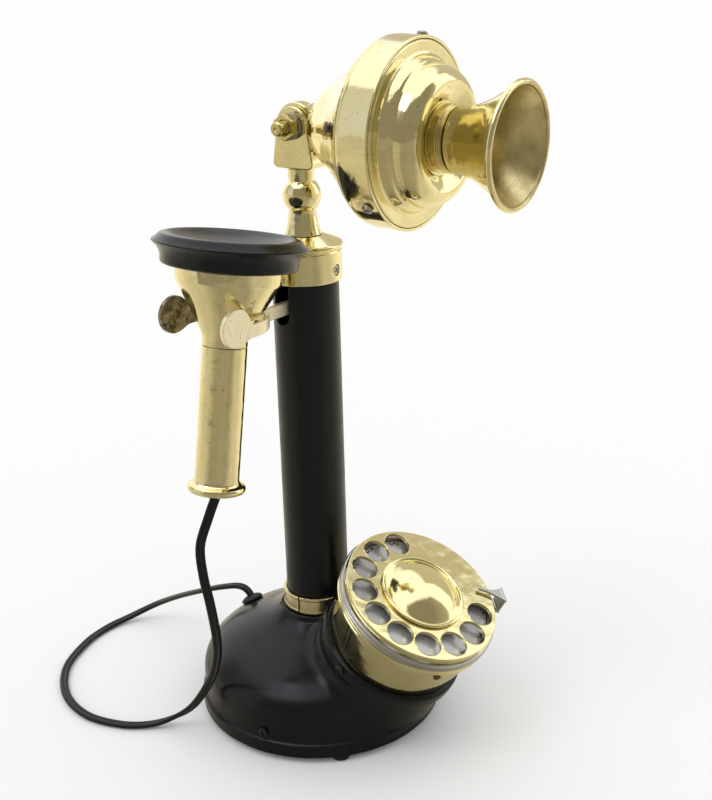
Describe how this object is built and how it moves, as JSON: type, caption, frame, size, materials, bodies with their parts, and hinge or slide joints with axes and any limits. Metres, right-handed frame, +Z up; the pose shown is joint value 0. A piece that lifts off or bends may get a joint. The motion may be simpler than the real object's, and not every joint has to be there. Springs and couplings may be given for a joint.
{
  "type": "telephone",
  "caption": "Candlestick desk telephone: bell-shaped base with tilted rotary dial, column with switch hook, hanging receiver and tilting transmitter with flared mouthpiece.",
  "frame": {"origin": "centre of the flat underside panel of the base, on the column's axis; the rubber feet stand 3.7 mm below it", "axes": "+Z up along the column, -Y towards the dial and the mouthpiece (the front), -X towards the switch hook and the receiver"},
  "size_m": [0.176, 0.2867, 0.3806],
  "materials": {
    "brass": "polished pale brass, lightly worn",
    "dark_brass": "dull turned brass",
    "black_paint": "satin black paint on spun steel",
    "black_rubber": "matte black rubber",
    "ear_rubber": "worn black hard rubber",
    "cord_cover": "black flexible twin-lead covering",
    "nickel": "worn nickel plate",
    "dark_screw": "oxidised steel",
    "steel": "plain steel",
    "bakelite": "dark brown moulded insulation",
    "copper": "varnished copper winding"
  },
  "bodies": {
    "stand": {"base_plate": "black_paint", "base_screw_1": "dark_screw", "base_screw_2": "dark_screw", "base_screw_3": "dark_screw", "base_shell": "black_paint", "cap_set_screw": "dark_screw", "column_cap": "brass", "column_collar": "brass", "column_tube": "black_paint", "contact_springs": "bakelite", "cord_grommet": "black_rubber", "dial_housing": "brass", "dial_ring": "nickel", "finger_stop": "nickel", "foot_1": "black_rubber", "foot_2": "black_rubber", "foot_3": "black_rubber", "foot_4": "black_rubber", "hook_bracket": "steel", "hook_pivot_pin": "steel", "housing_screw_1": "dark_screw", "housing_screw_2": "dark_screw", "housing_screw_3": "dark_screw", "induction_coil": "copper", "mechanism_plate": "steel", "number_plate": "nickel", "pivot_bolt": "brass", "pivot_nut": "brass", "pivot_washer": "nickel", "receiver_cord": "cord_cover", "socket_screw_1": "dark_screw", "socket_screw_2": "dark_screw", "stem": "brass", "terminal_block": "bakelite", "yoke": "brass"},
    "hook": {"hook_lever": "brass"},
    "receiver": {"receiver_handle": "brass", "receiver_bell": "brass", "receiver_cap": "ear_rubber", "receiver_diaphragm": "steel", "receiver_magnet": "steel"},
    "transmitter": {"rear_cup": "brass", "cup_screw": "dark_screw", "transmitter_case": "brass", "case_screw_1": "dark_screw", "case_screw_2": "dark_screw", "case_screw_3": "dark_screw", "transmitter_face": "brass", "mouthpiece_collar": "dark_brass", "mouthpiece": "brass", "transmitter_diaphragm": "nickel", "diaphragm_gasket": "black_rubber", "button_bridge": "dark_brass", "carbon_button": "bakelite"},
    "dial": {"finger_wheel": "brass", "dial_centre_cap": "brass", "dial_shaft": "steel", "main_gear": "dark_brass", "return_spring": "steel"},
    "governor": {"governor": "dark_brass"}
  },
  "joints": [
    {"name": "transmitter_tilt", "type": "hinge", "parent": "stand", "child": "transmitter", "pos_m": [0, 0, 0.3308], "axis": [0.996, 0.0889, 0], "range_deg": [-30, 8]},
    {"name": "receiver_lift", "type": "slide", "parent": "stand", "child": "receiver", "axis": [-0.5, 0, 0.866], "range_m": [0, 0.12]},
    {"name": "hook_rise", "type": "hinge", "parent": "stand", "child": "hook", "pos_m": [0.006, 0, 0.2388], "axis": [0, 1, 0], "range_deg": [0, 8.5]},
    {"name": "dial_turn", "type": "hinge", "parent": "stand", "child": "dial", "pos_m": [0, -0.0751, 0.0886], "axis": [0, -0.4894, 0.8721], "range_deg": [-320, 0]},
    {"name": "governor_spin", "type": "hinge", "parent": "stand", "child": "governor", "pos_m": [-0.02558, -0.08291, 0.08422], "axis": [0, -0.4894, 0.8721], "range_deg": [-5, 1125]}
  ],
  "couplings": [
    {"joint": "hook_rise", "follows": "receiver_lift", "rad_per_m": 1.1636},
    {"joint": "governor_spin", "follows": "dial_turn", "ratio": -3.5}
  ]
}
